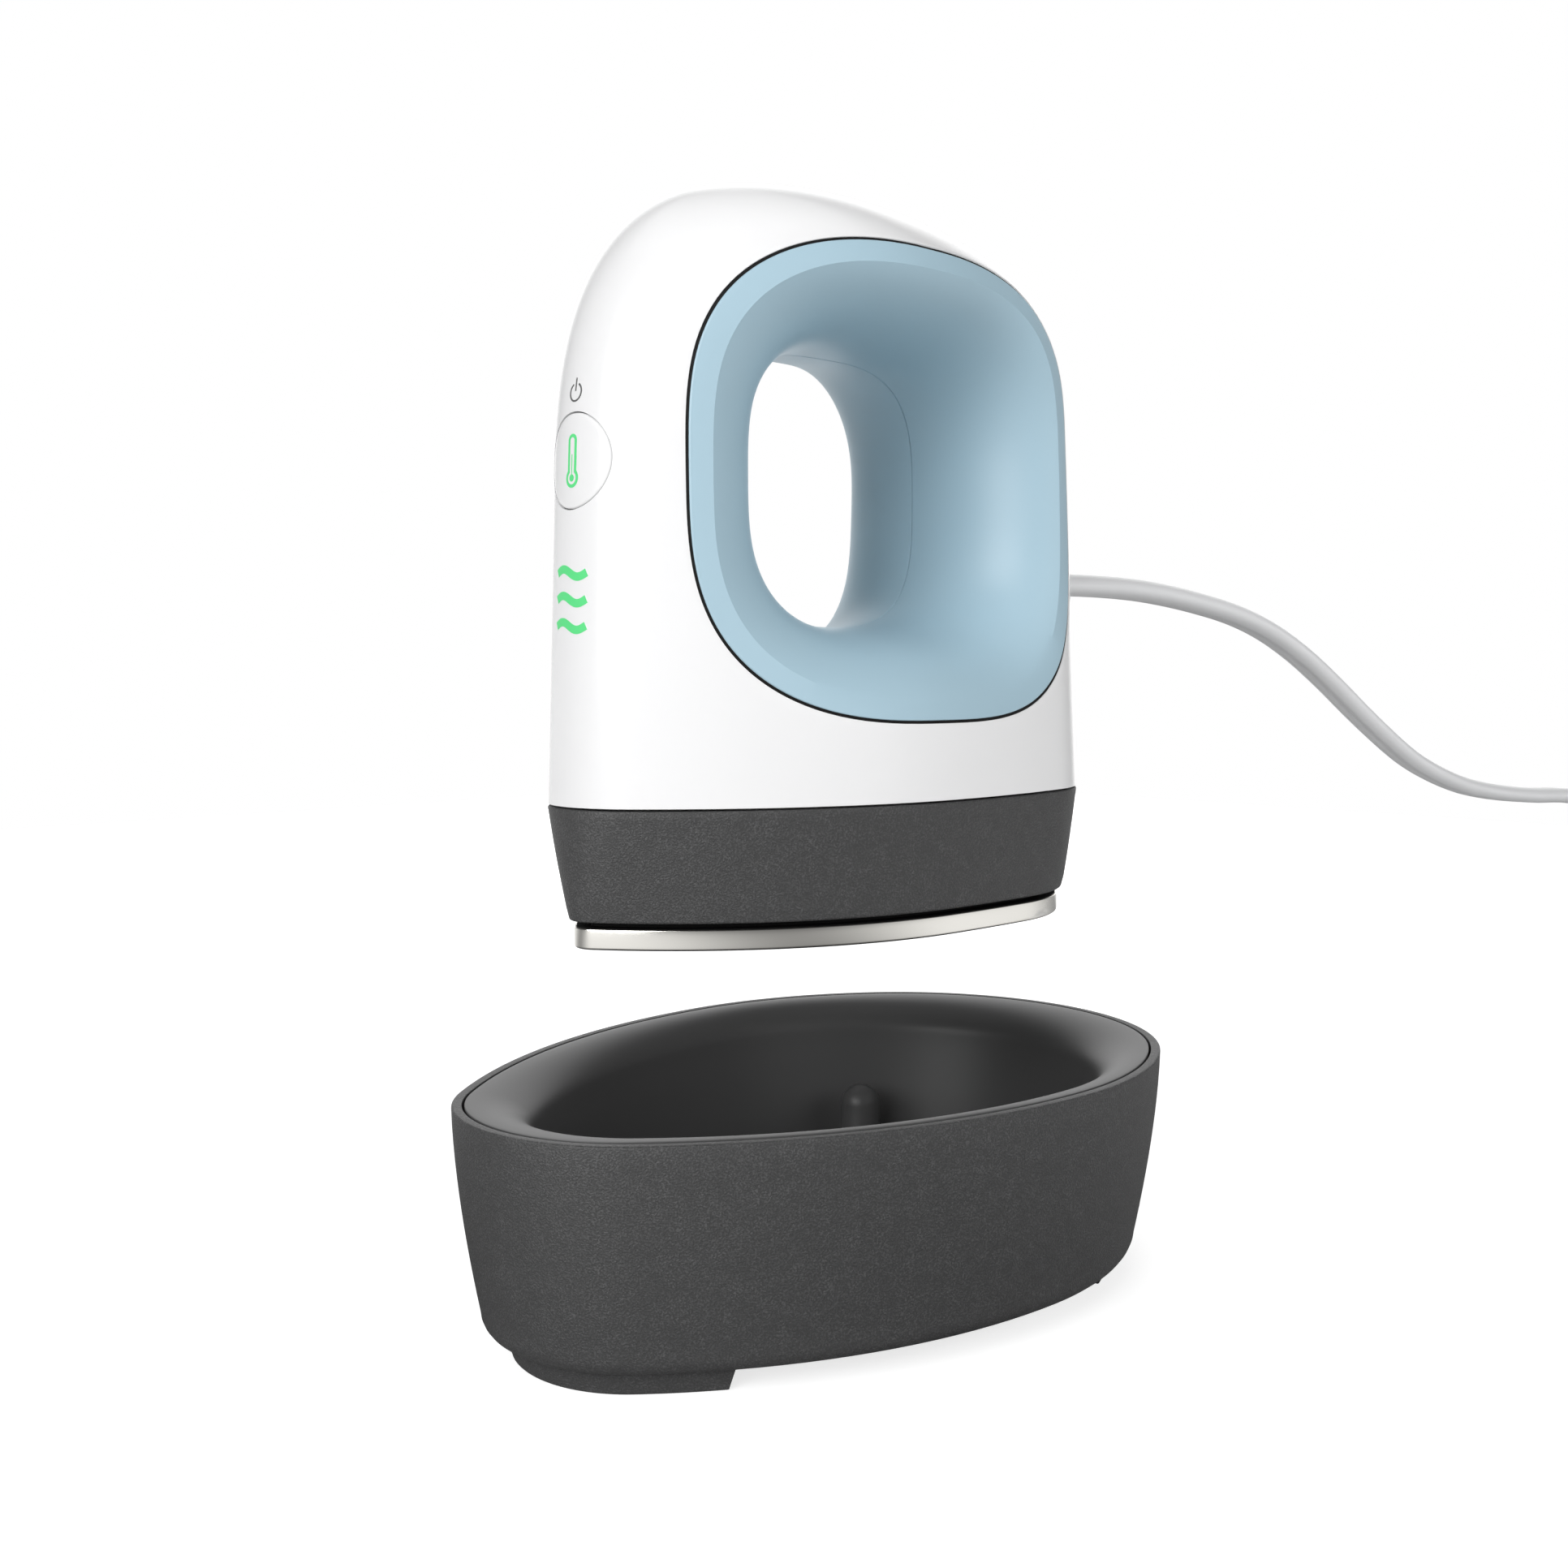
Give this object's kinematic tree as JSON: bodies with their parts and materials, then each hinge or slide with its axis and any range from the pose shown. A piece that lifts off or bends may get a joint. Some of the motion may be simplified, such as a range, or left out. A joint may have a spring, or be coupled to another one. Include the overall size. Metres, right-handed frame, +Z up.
{
  "type": "mini heat press",
  "caption": "Hand-held mini heat press with a see-through grip, raised above its bowl-shaped resting stand, with mains cord and plug.",
  "frame": {"origin": "middle of the hand hole through the press, on its mirror plane", "axes": "+Z up, +X from the nose with the button towards the tail where the cord leaves, +Y towards the far side"},
  "size_m": [0.3576, 0.1471, 0.1531],
  "materials": {
    "white_shell": "gloss white moulding",
    "blue_grip": "satin light blue moulding",
    "charcoal": "fine-grained dark grey moulding",
    "charcoal_satin": "satin dark grey moulding",
    "heat_alloy": "satin, warm tint",
    "steel": "plain",
    "plug_brass": "bright",
    "mica_board": "insulating sheet",
    "inner_plastic": "natural moulding",
    "circuit_board": "green solder mask",
    "dark_plastic": "plain",
    "clear_plastic": "clear moulding",
    "green_light": "lit green lens",
    "cord_grey": "smooth light grey sheath",
    "foot_rubber": "matt"
  },
  "bodies": {
    "press": {"outer_shell": "white_shell", "grip_insert_near": "blue_grip", "grip_insert_far": "blue_grip", "band": "charcoal", "heat_plate": "heat_alloy", "heating_element": "steel", "element_clamp": "steel", "insulation_pad": "mica_board", "heat_shield": "steel", "thermal_fuse": "mica_board", "thermistor": "clear_plastic", "inner_frame": "inner_plastic", "power_board": "circuit_board", "control_board": "circuit_board", "relay": "dark_plastic", "terminal_block": "dark_plastic", "button_switch": "dark_plastic", "light_guide": "clear_plastic", "led_1": "green_light", "led_2": "green_light", "led_3": "green_light", "led_4": "green_light", "supply_lead": "cord_grey", "cord_clip": "steel", "heater_lead_near": "dark_plastic", "heater_lead_far": "dark_plastic", "plate_screw_1": "steel", "plate_screw_2": "steel", "plate_screw_3": "steel", "plate_screw_4": "steel", "shell_screw_1": "steel", "shell_screw_2": "steel", "shell_screw_3": "steel", "shell_screw_4": "steel", "cord_bush": "cord_grey", "cord": "cord_grey", "cord_coil": "cord_grey", "cord_end": "cord_grey", "plug_body": "cord_grey", "plug_blade_1": "plug_brass", "plug_blade_2": "plug_brass"},
    "button": {"power_button": "white_shell"},
    "stand": {"stand_shell": "charcoal", "stand_liner": "charcoal_satin", "rest_pin_1": "charcoal_satin", "rest_pin_2": "charcoal_satin", "rest_pin_3": "charcoal_satin", "rest_pin_4": "charcoal_satin", "stand_foot_front": "foot_rubber", "stand_foot_back": "foot_rubber", "stand_screw_1": "steel", "stand_screw_2": "steel", "stand_screw_3": "steel", "stand_screw_4": "steel"}
  },
  "joints": [
    {"name": "power_button_press", "type": "slide", "parent": "press", "child": "button", "axis": [1, 0, 0], "range_m": [0, 0.0006], "stiffness_N_per_m": 600},
    {"name": "stand_dock", "type": "slide", "parent": "press", "child": "stand", "axis": [0, 0, 1], "range_m": [0, 0.032]}
  ]
}
